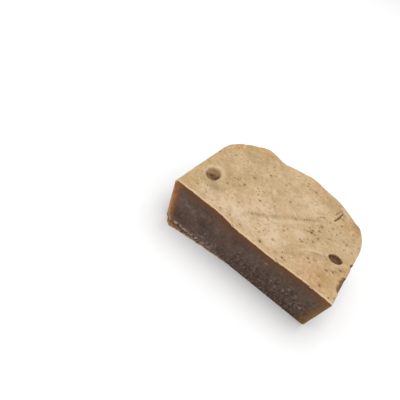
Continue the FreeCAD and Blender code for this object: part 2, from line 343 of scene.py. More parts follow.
def rim_roll(x, y):
    """Radius of the rounding where the skin turns down into the wall, largest at the far -X corner."""
    return rim_round + far_round * spot(x, y, *far_corner) + swell(x, y)


def rounding(d, r):
    """How far a rounded edge is below its flat at distance d from the edge."""
    t = np.clip(1 - d / r, 0.0, 1.0)
    return r * (1 - np.sqrt(np.maximum(0.0, 1 - t * t)))


def knife_marks(x, z):
    """The cut face: drag marks down the knife's way, and grains torn out of the lower part."""
    low = ease((19 - z + 0.06 * x) / 10)
    y = long_drags * rough(x, 0.4 * z, 10.0, 131) + fine_drags * rough(x, 0.3 * z, 1.7, 135, 2)
    y = y + low * torn_grain * rough(x, z, 1.3, 141, 2)
    y = y + low * torn_lumps * np.maximum(0.0, lumps(x, z, 0.9, 145) - 0.62)
    # A burr runs along the root of the lip
    burr = bell((z - lip_root - burr_rise) / 0.4) * (0.6 + 0.5 * lumps(x, 0 * x, 1.4, 151))
    burr = burr * ease((-6 - x) / 14)
    fade = ease((x + half - 2.5) / 2) * ease((half - 2.5 - x) / 2)
    return (y - burr_height * burr) * fade


def lip_out(x):
    """How far the torn lip stands out of the cut face, and how far the cut face bends out over it."""
    xs, outs = zip(*lip_line)
    out = np.interp(x, xs, outs, left=0.0, right=0.0)
    bent = np.minimum(lip_flare * out, flare_reach + 0.12 * rough(x, 0 * x, 3.0, 105))
    ragged = lip_ragged * rough(x, 0 * x, 1.8, 101) * ease(out)
    torn = np.clip(out + ragged - 0.1 * ease(out), 0.0, lip_reach)
    return torn, np.minimum(bent, torn)


def torn_height(x, lip, over, drop):
    """Height of the lip's torn top with its grain and holes, over it from 0 to 1 and then down its edge."""
    holes = bell((over - 0.3) / 0.25) * np.maximum(0.0, lumps(x, lip * over, 1.1, 125) + 0.2)
    granular = (lip_grain * rough(x, lip * over, 1.3, 121) - lip_holes * holes) * ease(lip / 1.5)
    return (lip_root - (lip_root - lip_edge) * over + granular * ease(over * 3)) * (1 - drop)


# Mesh of the cast

def crowd_ends(t, amount):
    """Steps from 0 to 1, moved closer together at both ends."""
    return t - amount * np.sin(2 * math.pi * t) / (2 * math.pi)


def rim_line(s):
    """The moulded rim's place in plan, where the skin's rounding meets the wall."""
    x, y, _, _ = plan(s)
    return np.stack(wall(s, set_surface(x, y) - rim_roll(x, y)), -1)


def skin_sheet():
    """The skin's cells, a sheet stretched between the cut's edge and the rim, and the rim's stations."""
    u, v = (crowd_ends(np.linspace(0, 1, n + 1), cell_crowding) for n in (cells_x, cells_y))
    turn_at = side_run + corner_run / 2
    s_left, s_end, s_right = v * turn_at, turn_at + u * (wall_run - 2 * turn_at), wall_run - v * turn_at
    left, end, right = (rim_line(s) for s in (s_left, s_end, s_right))
    x_cut = left[0, 0] + (right[0, 0] - left[0, 0]) * u
    ragged = 0.10 * (rough(x_cut, 0 * x_cut, 2.2, 111) + 0.6)
    from_ends = ease((x_cut + half) / 4) * ease((half - x_cut) / 4)
    cut_edge = np.stack([x_cut, y_cut + ragged * from_ends], -1)
    u, v = u[:, None, None], v[None, :, None]
    sheet = ((1 - v) * cut_edge[:, None] + v * end[:, None] + (1 - u) * left[None] + u * right[None]
             - (1 - u) * (1 - v) * left[0] - u * (1 - v) * right[0]
             - (1 - u) * v * left[-1] - u * v * right[-1])
    return sheet[..., 0], sheet[..., 1], np.concatenate([s_left, s_end[1:], s_right[::-1][1:]])


def nearest(x, y, line_x, line_y):
    """Distance from each place to a line of close points."""
    best = np.full(x.shape, 1e9)
    for start in range(0, len(line_x), 64):
        px, py = line_x[start:start + 64], line_y[start:start + 64]
        best = np.minimum(best, np.hypot(x[..., None] - px, y[..., None] - py).min(-1))
    return best


def wall_ring(s, rim, down, round_foot):
    """One ring's stations on the moulded wall or, past its foot, on the way round it to the base."""
    foot, turn = foot_radius(plan(s)[1]), math.pi / 2 * round_foot
    z = foot + (rim[:, 2] - foot) * (1 - down)
    if round_foot > 0:
        z = foot * (1 - math.sin(turn))
    x, y = wall(s, z, foot * (1 - math.cos(turn)))
    # Under the rim the wall takes up the rim's own line
    level_x, level_y = wall(s, rim[:, 2])
    keep = bell(down * 8)
    x, y = x + (rim[:, 0] - level_x) * keep, y + (rim[:, 1] - level_y) * keep
    y[[0, -1]] = y_cut
    return np.stack([x, y, z], -1)


def cut_ring(left, right, share, rim, down, round_foot):
    """One ring's stations on the cut face or, past its foot, over the torn lip and down its edge."""
    x = left + (right - left) * share
    lip, bent = lip_out(x)
    blend = ease((x - left) / lip_blend) * ease((right - x) / lip_blend)
    if round_foot > 0:
        over, drop = min(1.0, round_foot / lip_share), max(0.0, round_foot - lip_share) / (1 - lip_share)
        has_lip = ease(lip / 0.5)
        z = torn_height(x, lip, over, drop) * has_lip + lip_root * (1 - round_foot) * (1 - has_lip)
        corner_z = foot_round_cut * (1 - math.sin(math.pi / 2 * round_foot))
        z = np.maximum(0.0, corner_z + (z - corner_z) * blend)
        y = y_cut - (bent + (lip - bent) * over) * blend
    else:
        root = foot_round_cut + (lip_root - foot_round_cut) * blend
        z = root + (rim[:, 2] - root) * (1 - down)
        # Keeps the ragged top edge's line a little way down, then the knife's plane
        y = y_cut + (rim[:, 1] - y_cut) * bell(down * 9) + knife_marks(x, z)
        y = y - bent * blend * bell((z - root) / flare_spread)
    return np.stack([x, y, z], -1)


def cast_rings(s, rim):
    """Closed rings of stations from the rim down to the base, and how far each is over the torn lip."""
    share = (rim[cut, 0] - rim[0, 0]) / (rim[last_moulded, 0] - rim[0, 0])
    rings, over_lip = [], []
    for k in range(1, wall_rings + foot_rings + 1):
        down = crowd_ends(min(1.0, k / wall_rings), ring_crowding)
        round_foot = max(0, k - wall_rings) / foot_rings
        walled = wall_ring(s, rim[moulded], down, round_foot)
        knifed = cut_ring(walled[0, 0], walled[-1, 0], share, rim[cut], down, round_foot)
        rings.append(np.concatenate([walled, knifed]))
        over_lip.append(min(1.0, round_foot / lip_share))
    return rings, over_lip


def cast_faces(rows, foot_x):
    """Faces of the skin, of the wall and the cut between two rings, and of the base, each with its finish."""
    grid = np.arange((cells_x + 1) * (cells_y + 1)).reshape(cells_x + 1, cells_y + 1)
    quads = np.stack([grid[:-1, :-1], grid[1:, :-1], grid[1:, 1:], grid[:-1, 1:]], -1).reshape(-1, 4)
    faces, region = quads.tolist(), [SKIN] * len(quads)
    # A face between two stations belongs to the cut where either of them is on the cut only
    on_cut = np.arange(len(edge_i)) >= last_moulded
    has_lip = foot_x < lip_line[-1][0] - 1.5
    for k, (upper, lower) in enumerate(zip(rows, rows[1:])):
        faces += np.stack([upper, np.roll(upper, -1), np.roll(lower, -1), lower], -1).tolist()
        knifed = np.where((k >= wall_rings) & has_lip, TORN, CORE)
        region += np.where(on_cut, knifed, WALL).tolist()
    faces.append(rows[-1].tolist())
    region.append(WALL)
    return faces, region


# Measures that the finishes read, in millimetres or as amounts

def ring_measures(total, rows, rings, over_lip):
    """Depth under the rim, distance from the sides along the cut, and the way out over the torn lip."""
    depth, side, torn_over = np.zeros(total), np.full(total, far_off), np.zeros(total)
    for row, ring, over in zip(rows, rings, over_lip):
        depth[row] = rings[0][:, 2] - ring[:, 2]
        x, z = ring[cut, 0], ring[cut, 2]
        near_foot = ease((4.5 - z) / 4.0) * ease(-x / 20)
        side[row[cut]] = np.minimum(x - ring[0, 0], ring[last_moulded, 0] - x) - foot_rind * near_foot
        side[row[[0, last_moulded]]] = 0.0
        torn_over[row[cut]] = over
    return {"depth_mm": depth, "side_mm": side, "torn_over": torn_over}


def line_marks(x, y):
    """The cracks, the painted shade on the folds' flanks and the painted highlight on their crests."""
    cracked, creased, crested = [], [], []
    for start, stop, wide, deep in cracks:
        off, past = off_line(x, y, start, stop, *crack_sway)
        cracked.append(deep / cracks[0][3] * bell(off / (wide * 0.62)) * bell(past / 0.5))
    for start, stop, _, spread, fade, dark in folds:
        off, past = off_line(x, y, start, stop, *fold_sway)
        flank = bell((off + 0.55 * spread) / (0.5 * spread)) * (0.75 + 0.4 * rough(x, y, 3.0, 45))
        creased.append(dark * flank * bell(past / fade))
    for start, stop, spread, amount in crest_highlights:
        off, past = off_line(x, y, start, stop, *crest_sway)
        crested.append(amount * bell(off / spread) * bell(past / 2.0))
    return {"cracked": np.max(cracked, 0), "creased": np.max(creased, 0), "crested": np.max(crested, 0)}


def skin_marks(x, y, to_rim):
    """What broke out, burst, cracked or stained the skin, and the painted shade and highlight on its folds
    and round the burst bubble.
    """
    from_middle = from_bubble(x, y)
    up_side = ((x - bubble_at[0]) * bubble_lit_way[0] + (y - bubble_at[1]) * bubble_lit_way[1]) / bubble_mouth
    # The bead is pale, and painted lighter towards the far side as if lit there
    ring_lit_side = 0.55 + 0.45 * up_side + 0.3 * lumps(x, y, 3, 87)
    stain_edge = 0.2 * lumps(x, y, 0.8, 99)
    stained = [bell(np.hypot(x - at_x, y - at_y) / (1.45 * radius) + stain_edge)
               for at_x, at_y, radius in large_specks]
    return {
        "rim_mm": to_rim,
        "broken": ease(chip_inside(y, to_rim)[0] / 0.35 + 0.5) * (x > 0),
        "hollow": ease(pocket_inside(x, y) / 0.35 + 0.4),
        "burst": ease((bubble_mouth + 0.5 - from_middle) / 1.1),
        "burst_far": ease((up_side + 0.2 * lumps(x, y, 1.2, 83) - 0.05) / 0.6),
        "pitted": bubble_pitted(x, y),
        "ringed": bell((from_middle - bubble_ring - 0.8) / 1.1) * ring_lit_side,
        "stained": np.max(stained, 0),
        **line_marks(x, y),
    }


def nicked(points):
    """Brown soap round the nicks in the rim of the cut."""
    x, y, z = points.T
    marks = [bell(np.hypot((x - at) / run, (y - y_cut) / 0.8) * 1.6) for at, run, _ in cut_nicks]
    return np.max(marks, 0) * (z > mid_thick - 2.5)


def patch_marks(points):
    """Soft changes of the skin's colour, and where small specks crowd."""
    x, y, z = points.T
    marks = {}
    for label, places in patches.items():
        amount = np.max([most * spot(x, y, *place) for *place, most in places], 0)
        marks[label] = np.clip(amount * (1 + 0.4 * rough(x, y, 5.0, patch_seeds[label])), 0, 1)
    crowd = specks_elsewhere + sum(most * spot(x, y, *place) for *place, most in speck_crowds)
    marks["peppered"] = crowd * (z > mid_thick - 3.5)
    return marks


def cut_marks(points, torn_over):
    """Drag strokes, grains and grit of the cut face, the burr over the lip, and where crumbs cling."""
    x, y, z = points.T
    on_cut = (y < y_cut + 0.8) & (z < mid_thick - 3)
    stroked, fleck = (np.max([most * spot(x, z, *place) for *place, most in marks], 0) * on_cut
                      for marks in (cut_strokes, cut_flecks))
    gritty = spot(x, z, *gritty_foot)
    grainy = ease((15 - z + 0.10 * x) / 9) * (0.35 + 0.65 * ease((x + 20) / 30))
    burr = (y < y_cut + 0.2) * bell((z - lip_root - burr_rise) / 0.6) * ease((-6 - x) / 16)
    # Crumbs lie on the torn lip and cling along the foot of the cut
    on_lip = (torn_over > 0.1) * (z > 0.15) * (y < y_cut - 0.2) * (y > y_cut - lip_reach + 0.7)
    at_foot = bell((z - lip_root) / 0.9) * (np.abs(y - y_cut) < 0.8) * 0.5
    return {
        "stroked": np.clip(stroked * (1 + 0.9 * rough(x, z, 1.6, 181)), 0, 1),
        "fleck": fleck,
        "gritty": gritty * on_cut,
        "flecked": np.maximum(grainy, 0.9 * gritty) * on_cut,
        "burr": burr * ease(0.9 + rough(x, 0 * x, 1.6, 153)) * (torn_over < 0.1),
        "crumbly": np.clip(on_lip + at_foot, 0, 1) * (x > low_corner[0] - shift[0] + 2.6),
        "rightward": ease((x + 15) / 30),
    }


def cast_mesh():
    """Points, faces, the finish of each face, and the measures that the finishes read."""
    x, y, s = skin_sheet()
    rim_i, rim_j = edge_i[moulded], edge_j[moulded]
    to_rim = nearest(x, y, x[rim_i, rim_j], y[rim_i, rim_j])
    to_rim[rim_i, rim_j] = 0.0
    smooth = set_surface(x, y)
    z = smooth + skin_relief(x, y, to_rim) - rounding(to_rim, rim_roll(x, y))
    skin = np.stack([x, y, np.minimum(z, smooth.max() + headroom)], -1)
    rim = skin[edge_i, edge_j]
    rings, over_lip = cast_rings(s, rim)
    points = np.concatenate([skin.reshape(-1, 3)] + rings)

    rows = [edge_i * (cells_y + 1) + edge_j]
    rows += [x.size + k * len(rim) + np.arange(len(rim)) for k in range(len(rings))]
    faces, region = cast_faces(rows, rings[-1][:, 0])

    below = len(points) - x.size
    measures = ring_measures(len(points), rows, [rim] + rings, [0.0] + over_lip)
    for label, values in skin_marks(x, y, to_rim).items():
        measures[label] = np.append(values, np.zeros(below))
    measures["edge_mm"] = np.append(y - y_cut, np.full(below, far_off))
    measures["broken"] = np.maximum(measures["broken"], nicked(points))
    measures.update(patch_marks(points))
    measures.update(cut_marks(points, measures["torn_over"]))
    return points, faces, region, measures


def put(name, data):
    """A new object in the scene."""
    thing = bpy.data.objects.new(name, data)
    bpy.context.scene.collection.objects.link(thing)
    return thing


def solid_piece(name, points, faces, region, measures, materials):
    """A closed mesh with its finishes, and with its measures as attributes."""
    mesh = bpy.data.meshes.new(name)
    places = np.clip(points + shift, low_corner, high_corner) * MM
    mesh.from_pydata(places.tolist(), [], faces)
    for material in materials:
        mesh.materials.append(material)
    mesh.polygons.foreach_set("material_index", region)
    mesh.shade_smooth()
    mesh.set_sharp_from_angle(angle=math.radians(sharp_from))
    for label, values in measures.items():
        mesh.attributes.new(label, "FLOAT", "POINT").data.foreach_set("value", values.astype(np.float32))
    mesh.update()
    return put(name, mesh)


# Finishes

def srgb(code):
    """Hex colour as linear light."""
    parts = [int(code[k:k + 2], 16) / 255 for k in (1, 3, 5)]
    return [c / 12.92 if c <= 0.04045 else ((c + 0.055) / 1.055) ** 2.4 for c in parts] + [1.0]


def add(tree, kind, inputs=None, **settings):
    """A node with its settings, and its inputs as links or values."""
    node = tree.nodes.new(kind)
    for name, value in settings.items():
        setattr(node, name, value)
    for key, value in (inputs or {}).items():
        if isinstance(value, bpy.types.NodeSocket):
            tree.links.new(value, node.inputs[key])
        else:
            node.inputs[key].default_value = value
    return node


class Finish:
    """A soap material: its shader, the colour laid up so far, and the patterns that soap surfaces use."""

    def __init__(self, name, roughness, gloss=0.3, through=0.0):
        self.material = bpy.data.materials.new(name)
        self.material.use_nodes = True
        self.tree = self.material.node_tree
        self.shader = self.tree.nodes["Principled BSDF"]
        # Soap is a wax-like solid: index near 1.46, and light passes 1 or 2 mm under its surface
        for label, value in (("Roughness", roughness), ("IOR", 1.46), ("Specular IOR Level", gloss),
                             ("Subsurface Weight", through), ("Subsurface Scale", 1.0),
                             ("Subsurface Radius", (0.0022, 0.0011, 0.0006))):
            self.shader.inputs[label].default_value = value
        place = add(self.tree, "ShaderNodeTexCoord").outputs["Object"]
        self.mm = add(self.tree, "ShaderNodeMapping", {"Vector": place, "Scale": (1 / MM,) * 3}).outputs[0]
        self.colour = None

    def amount(self, value, low, high):
        """An amount that grows softly from 0 to 1 as a value goes from low to high."""
        return add(self.tree, "ShaderNodeMapRange", {"Value": value, "From Min": low, "From Max": high},
                   interpolation_type="SMOOTHSTEP").outputs[0]

    def measure(self, label, low=None, high=None):
        """What the cast's mesh says of a place, as it is or as an amount between low and high."""
        value = add(self.tree, "ShaderNodeAttribute", attribute_name=label).outputs["Fac"]
        return value if low is None else self.amount(value, low, high)

    def uneven(self, label, pattern, by):
        """A measure, with so many times a pattern or another measure added to it."""
        return add(self.tree, "ShaderNodeMath", {0: pattern, 1: by, 2: self.measure(label)},
                   operation="MULTIPLY_ADD").outputs[0]

    def pattern(self, size, low, high, detail=3.0, stretch=(1, 1, 1), at=(0, 0, 0)):
        """Cloudy noise with lumps of a size in millimetres, opened out to 0..1 between low and high."""
        moved = add(self.tree, "ShaderNodeMapping",
                    {"Vector": self.mm, "Location": at, "Scale": stretch}).outputs[0]
        noise = add(self.tree, "ShaderNodeTexNoise", {"Vector": moved, "Scale": 1 / size, "Detail": detail})
        return self.amount(noise.outputs[0], low, high)

    def spots(self, apart, radius, share, at=(0, 0, 0)):
        """Soft uneven spots, about one to a cell of a size in millimetres, of which a share is kept."""
        moved = add(self.tree, "ShaderNodeMapping", {"Vector": self.mm, "Location": at}).outputs[0]
        stir = add(self.tree, "ShaderNodeTexNoise",
                   {"Vector": moved, "Scale": 0.9 / radius, "Detail": 1.0}).outputs["Color"]
        bent = add(self.tree, "ShaderNodeVectorMath", {0: stir, 1: (0.9 * radius,) * 3, 2: moved},
                   operation="MULTIPLY_ADD").outputs[0]
        cells = add(self.tree, "ShaderNodeTexVoronoi", {"Vector": bent, "Scale": 1 / apart}).outputs
        chance = add(self.tree, "ShaderNodeSeparateColor", {0: cells["Color"]}).outputs
        size = add(self.tree, "ShaderNodeMath", {0: chance[1], 1: radius / apart, 2: 0.5 * radius / apart},
                   operation="MULTIPLY_ADD").outputs[0]
        out = add(self.tree, "ShaderNodeMath", {0: cells["Distance"], 1: size}, operation="DIVIDE").outputs[0]
        kept = add(self.tree, "ShaderNodeMath", {0: chance[0], 1: share}, operation="LESS_THAN").outputs[0]
        return add(self.tree, "ShaderNodeMath", {0: self.amount(out, 1.1, 0.6), 1: kept},
                   operation="MULTIPLY").outputs[0]

    def shades(self, amount, one, other):
        """One colour going over to another, each a hex value or worked out before."""
        one, other = (srgb(c) if isinstance(c, str) else c for c in (one, other))
        return add(self.tree, "ShaderNodeMix", {0: amount, 6: one, 7: other}, data_type="RGBA").outputs[2]

    def lay(self, colour, strength, *amounts):
        """Lays a colour over what is there, as strongly as all the amounts together say."""
        for amount in amounts:
            strength = add(self.tree, "ShaderNodeMath", {0: amount, 1: strength},
                           operation="MULTIPLY").outputs[0]
        self.colour = self.shades(strength, self.colour, colour)

    def finish(self, height=None, relief=0.3, deep=0.0001):
        """The material, with a fine relief of a height in metres."""
        self.tree.links.new(self.colour, self.shader.inputs["Base Color"])
        if height is not None:
            bump = add(self.tree, "ShaderNodeBump", {"Height": height, "Strength": relief, "Distance": deep})
            self.tree.links.new(bump.outputs[0], self.shader.inputs["Normal"])
        return self.material


def dried_skin():
    """Open face of cured soap: a dry chalky film over brown soap, tan, matt, cloudy and finely peppered."""
    soap = Finish("dried_soap_skin", 0.62, gloss=0.25, through=0.05)
    soap.colour = soap.shades(soap.pattern(15, 0.38, 0.62), "#bb9e73", "#caaf88")
    soap.lay("#dac3a5", 0.8, soap.measure("paled"))
    soap.lay("#caa27b", 0.3, soap.pattern(23, 0.45, 0.66, at=(7, 3, 0)))
    soap.lay("#a8966d", 0.75, soap.measure("greyed"))
    soap.lay("#ba9059", 0.8, soap.measure("warmed"))
    soap.lay("#c59472", 0.7, soap.measure("rosy"))
    # Dusky stains, with painted shade under a fold
    soap.lay("#91714f", 0.85, soap.measure("dusky"))
    # Fine cloudiness of the film, lumps 1 to 4 mm, and its finest brown and pale grain
    soap.lay("#a98a60", 0.4, soap.pattern(4.0, 0.46, 0.66, at=(1, 2, 3)))
    soap.lay("#dcc5a2", 0.3, soap.pattern(3.0, 0.5, 0.7, at=(8, 2, 5)))
    soap.lay("#a1805a", 0.45, soap.pattern(1.6, 0.5, 0.68))
    soap.lay("#dec6a2", 0.4, soap.pattern(1.2, 0.54, 0.72, at=(13, 1, 0)))
    # Painted highlight along the folds' crests
    soap.lay("#dbc5a0", 0.8, soap.measure("crested"))
    # Painted shade on one flank of each fold
    soap.lay("#937c55", 0.65, soap.measure("creased"))
    # Bits in the film: stains round the larger ones, faint soft ones, and small ones that crowd in places
    soap.lay("#7f5c32", 0.8, soap.measure("stained"))
    soap.lay("#8a683c", 0.5, soap.spots(5.2, 0.85, 0.5))
    soap.lay("#745530", 0.75, soap.spots(3.1, 0.42, 0.55, at=(3, 1, 8)))
    soap.lay("#6d4f2a", 0.85, soap.spots(1.5, 0.30, 0.55, at=(5, 5, 1)), soap.measure("peppered", 0.2, 1.2))
    # The pale bead round the burst bubble, with painted highlight on its far side
    soap.lay("#dac3a1", 0.5, soap.measure("ringed"))
    # Paler along the cut's edge: the film is thick there, and a painted highlight runs along the edge
    soap.lay("#e3c7a0", 0.75, soap.measure("edge_mm", 0.8, 0.35))
    # Where something opened the skin, brown soap shows
    skin, soap.colour = soap.colour, soap.shades(soap.pattern(1.8, 0.4, 0.6), "#836847", "#674c2e")
    # Painted light on the burst bubble's far inner wall
    soap.lay("#a6815a", 0.85, soap.measure("burst_far"))
    # Painted shade in the bubble's deepest pits
    soap.lay("#4a3015", 1.0, soap.measure("pitted"))
    soap.colour = soap.shades(soap.measure("burst"), skin, soap.colour)
    soap.lay(soap.shades(soap.pattern(1.6, 0.4, 0.6), "#65452b", "#704e34"), 1.0, soap.measure("hollow"))
    broken = soap.shades(soap.pattern(1.6, 0.4, 0.6), "#7f5c35", "#9f7a4c")
    broken = soap.shades(soap.measure("rim_mm", 1.7, 0.3), broken, "#5f472c")
    soap.lay(broken, 1.0, soap.measure("broken"))
    soap.lay("#5f3f18", 1.2, soap.measure("cracked"))
    return soap.finish(soap.pattern(0.7, 0.3, 0.7), 0.35)


def cut_core():
    """Knife-cut soap: dense, slightly waxy, brown and mauve-grey, going translucent orange-brown outwards."""
    soap = Finish("cut_soap_core", 0.45, gloss=0.3, through=0.08)
    soap.colour = soap.shades(soap.pattern(7, 0.38, 0.62), "#513c2f", "#644d40")
    flecked, rightward = soap.measure("flecked"), soap.measure("rightward")
    # Clouds of redder and of olive soap near the crust
    upper = soap.measure("depth_mm", 11, 6)
    soap.lay("#6b4330", 0.7, soap.pattern(6, 0.46, 0.64, at=(3, 8, 1)), upper)
    soap.lay("#5c4a34", 0.6, soap.pattern(8, 0.48, 0.62, at=(9, 1, 4)), upper)
    # Grey bloom in strokes where the knife dragged, about 2 by 4 mm
    strokes = soap.pattern(2.2, 0.46, 0.68, stretch=(1, 1, 0.5))
    soap.lay("#7a665c", 0.45, strokes, soap.pattern(12, 0.4, 0.6, at=(2, 5, 8)))
    soap.lay("#85726c", 0.6, soap.measure("stroked"))
    # Grain, stronger where the knife tore it: towards the foot and the +X end
    torn = add(soap.tree, "ShaderNodeMath", {0: flecked, 1: 0.5, 2: 0.42},
               operation="MULTIPLY_ADD").outputs[0]
    soap.lay("#46352b", 0.35, flecked)
    soap.lay("#3f2e25", 1.0, soap.pattern(1.7, 0.48, 0.66, detail=4.0), torn)
    soap.lay("#74615a", 1.0, soap.pattern(1.5, 0.5, 0.68, detail=5.0, at=(4, 4, 4)), torn)
    # The soap dried orange-brown from outside in: a band under the crust, and a rind along both sides
    wander = soap.pattern(5, 0.3, 0.7, at=(9, 2, 6))
    under, side = soap.uneven("depth_mm", wander, 1.4), soap.uneven("side_mm", wander, 1.4)
    soap.lay("#6e4526", 1.0, soap.amount(under, 6.1, 1.9))
    soap.lay(soap.shades(rightward, "#8a5630", "#704c2b"), 1.0, soap.amount(side, 6.2, 2.2))
    rind = soap.shades(soap.pattern(3.5, 0.4, 0.6, at=(1, 1, 7)), "#8f5c33", "#b57434")
    soap.lay(soap.shades(rightward, rind, "#7d5a30"), 1.0, soap.amount(side, 4.3, 2.1))
    corner_mm = soap.uneven("depth_mm", side, 1.0)
    soap.lay(soap.shades(rightward, "#93603a", "#7c5129"), 0.8, soap.amount(corner_mm, 9.7, 3.7))
    outer = soap.uneven("side_mm", soap.pattern(2.5, 0.3, 0.7, at=(5, 0, 5)), -1.0)
    soap.lay(soap.shades(rightward, "#cba586", "#8c7350"), 0.6, soap.amount(outer, 0.5, -0.1))
    grit = soap.shades(soap.pattern(0.8, 0.42, 0.58, at=(7, 7, 7)), "#3b2a21", "#84706a")
    soap.lay(grit, 0.5, soap.measure("gritty"))
    # Soft pale flecks
    soap.lay("#9a8a80", 0.4, soap.spots(5.0, 0.85, 0.5, at=(2, 2, 2)), soap.amount(flecked, 0.05, 0.6))
    soap.lay("#93837a", 0.4, soap.spots(2.2, 0.35, 0.5, at=(6, 1, 2)), soap.amount(flecked, 0.0, 0.8))
    soap.lay("#a99b90", 0.85, soap.measure("fleck"))
    # The burr: dark grain, and pale pinkish lines that are partly a painted highlight along its ridge
    burr_grain_and_highlight = soap.shades(soap.pattern(1.0, 0.40, 0.54), "#4a372c", "#d2b6a6")
    soap.lay(burr_grain_and_highlight, 0.9, soap.measure("burr"))
    soap.lay("#4f331a", 1.0, soap.measure("broken"))
    # The dried film seen edge on
    film = soap.uneven("depth_mm", soap.pattern(1.5, 0.3, 0.7), 0.3)
    soap.lay("#e3c198", 1.0, soap.amount(film, 0.8, 0.45))
    return soap.finish(soap.pattern(0.6, 0.3, 0.7))


def moulded_wall():
    """Soap cast against a smooth tub: dark brown, even, thinly bloomed grey, with a pale line at the rim."""
    soap = Finish("moulded_soap_wall", 0.38, gloss=0.4, through=0.08)
    soap.colour = soap.shades(soap.pattern(13, 0.35, 0.65), "#5a4335", "#6a5140")
    soap.lay("#7a6657", 0.3, soap.pattern(3.2, 0.46, 0.74))
    soap.lay("#3e2c22", 0.5, soap.pattern(0.9, 0.62, 0.72))
    under = soap.uneven("depth_mm", soap.pattern(4, 0.3, 0.7, at=(1, 8, 3)), 1.6)
    soap.lay("#7d5330", 1.0, soap.amount(under, 4.2, 1.0))
    film = soap.uneven("depth_mm", soap.pattern(2.6, 0.45, 0.75, at=(5, 5, 5)), -0.9)
    soap.lay("#c7a178", 1.0, soap.amount(film, 0.55, 0.25))
    return soap.finish(soap.pattern(1.4, 0.3, 0.7), 0.2)


def torn_soap():
    """Soap that tore: granular and brown, with dark holes, pale grains and an orange end."""
    soap = Finish("torn_soap", 0.5, gloss=0.3, through=0.08)
    soap.colour = soap.shades(soap.pattern(2.4, 0.38, 0.62), "#644b38", "#7d5f47")
    soap.lay("#a9744a", 1.0, soap.measure("side_mm", 8.0, 3.0))
    soap.lay("#a0826a", 0.6, soap.pattern(1.3, 0.52, 0.66, at=(3, 1, 2)))
    soap.lay("#35271d", 0.85, soap.pattern(1.1, 0.46, 0.58), soap.measure("torn_over", 0.7, 0.3))
    edge = soap.measure("torn_over", 0.72, 0.98)
    soap.lay("#b99b80", 0.8, soap.pattern(1.6, 0.36, 0.56, at=(2, 6, 1)), edge)
    return soap.finish(soap.pattern(0.5, 0.3, 0.7), 0.6, 0.0003)


def grain_material(name, dark, light, roughness):
    """Bits in the soap, of one colour that wanders a little from bit to bit."""
    bit = Finish(name, roughness, gloss=0.2)
    bit.colour = bit.shades(bit.pattern(5, 0.35, 0.65, detail=6.0), dark, light)
    return bit.finish()


# Grains

def grain_tree():
    """Strews flat grains over a surface: denser where a measure is higher, turned and sized by chance."""
    tree = bpy.data.node_groups.new("strewn_grains", "GeometryNodeTree")
    tree.interface.new_socket("Geometry", in_out="INPUT", socket_type="NodeSocketGeometry")
    for label, kind in (("Per Square Metre", "Float"), ("Measure", "String"), ("Radius", "Float"),
                        ("Flatness", "Float"), ("Seed", "Int"), ("Material", "Material")):
        tree.interface.new_socket(label, in_out="INPUT", socket_type="NodeSocket" + kind)
    tree.interface.new_socket("Geometry", in_out="OUTPUT", socket_type="NodeSocketGeometry")
    given = add(tree, "NodeGroupInput").outputs
    measure = add(tree, "GeometryNodeInputNamedAttribute", {"Name": given["Measure"]},
                  data_type="FLOAT").outputs[0]
    density = add(tree, "ShaderNodeMath", {0: measure, 1: given["Per Square Metre"]},
                  operation="MULTIPLY").outputs[0]
    places = add(tree, "GeometryNodeDistributePointsOnFaces",
                 {"Mesh": given["Geometry"], "Density": density, "Seed": given["Seed"]}).outputs
    grain = add(tree, "GeometryNodeMeshIcoSphere",
                {"Radius": given["Radius"], "Subdivisions": 1}).outputs["Mesh"]
    spin = add(tree, "FunctionNodeRandomValue", {2: 0.0, 3: 6.283, "Seed": given["Seed"]},
               data_type="FLOAT").outputs[1]
    turn = add(tree, "FunctionNodeAxisAngleToRotation", {"Axis": (0, 0, 1), "Angle": spin}).outputs[0]
    turned = add(tree, "FunctionNodeRotateRotation", {"Rotation": places["Rotation"], "Rotate By": turn},
                 rotation_space="LOCAL").outputs[0]
    small, large = (add(tree, "ShaderNodeCombineXYZ", {0: long, 1: wide, 2: given["Flatness"]}).outputs[0]
                    for long, wide in ((0.5, 0.35), (1.5, 0.9)))
    size = add(tree, "FunctionNodeRandomValue", {0: small, 1: large, "Seed": given["Seed"]},
               data_type="FLOAT_VECTOR").outputs[0]
    strewn = add(tree, "GeometryNodeInstanceOnPoints",
                 {"Points": places["Points"], "Instance": grain, "Rotation": turned, "Scale": size})
    real = add(tree, "GeometryNodeRealizeInstances", {"Geometry": strewn.outputs[0]})
    painted = add(tree, "GeometryNodeSetMaterial",
                  {"Geometry": real.outputs[0], "Material": given["Material"]})
    add(tree, "NodeGroupOutput", {"Geometry": painted.outputs[0]})
    return tree


def keep_in_box(mesh):
    """Flattens what stands past the bar's own box."""
    places = np.empty(len(mesh.vertices) * 3, np.float32)
    mesh.vertices.foreach_get("co", places)
    places = np.clip(places.reshape(-1, 3), low_corner * MM, high_corner * MM)
    mesh.vertices.foreach_set("co", places.ravel().astype(np.float32))
    mesh.update()


def strew(name, tree, ground, **values):
    """A plain mesh of the grains that the tree strews over the ground piece."""
    carrier = put(name + "_ground", ground.data)
    maker = carrier.modifiers.new("grains", "NODES")
    maker.node_group = tree
    for item in tree.interface.items_tree:
        key = item.name.lower().replace(" ", "_")
        if item.in_out == "INPUT" and key in values:
            maker[item.identifier] = values[key]
    shown = carrier.evaluated_get(bpy.context.evaluated_depsgraph_get())
    mesh = bpy.data.meshes.new_from_object(shown)
    mesh.name = name
    carrier.modifiers.remove(maker)
    keep_in_box(mesh)
    bpy.data.objects.remove(carrier)
    return put(name, mesh)


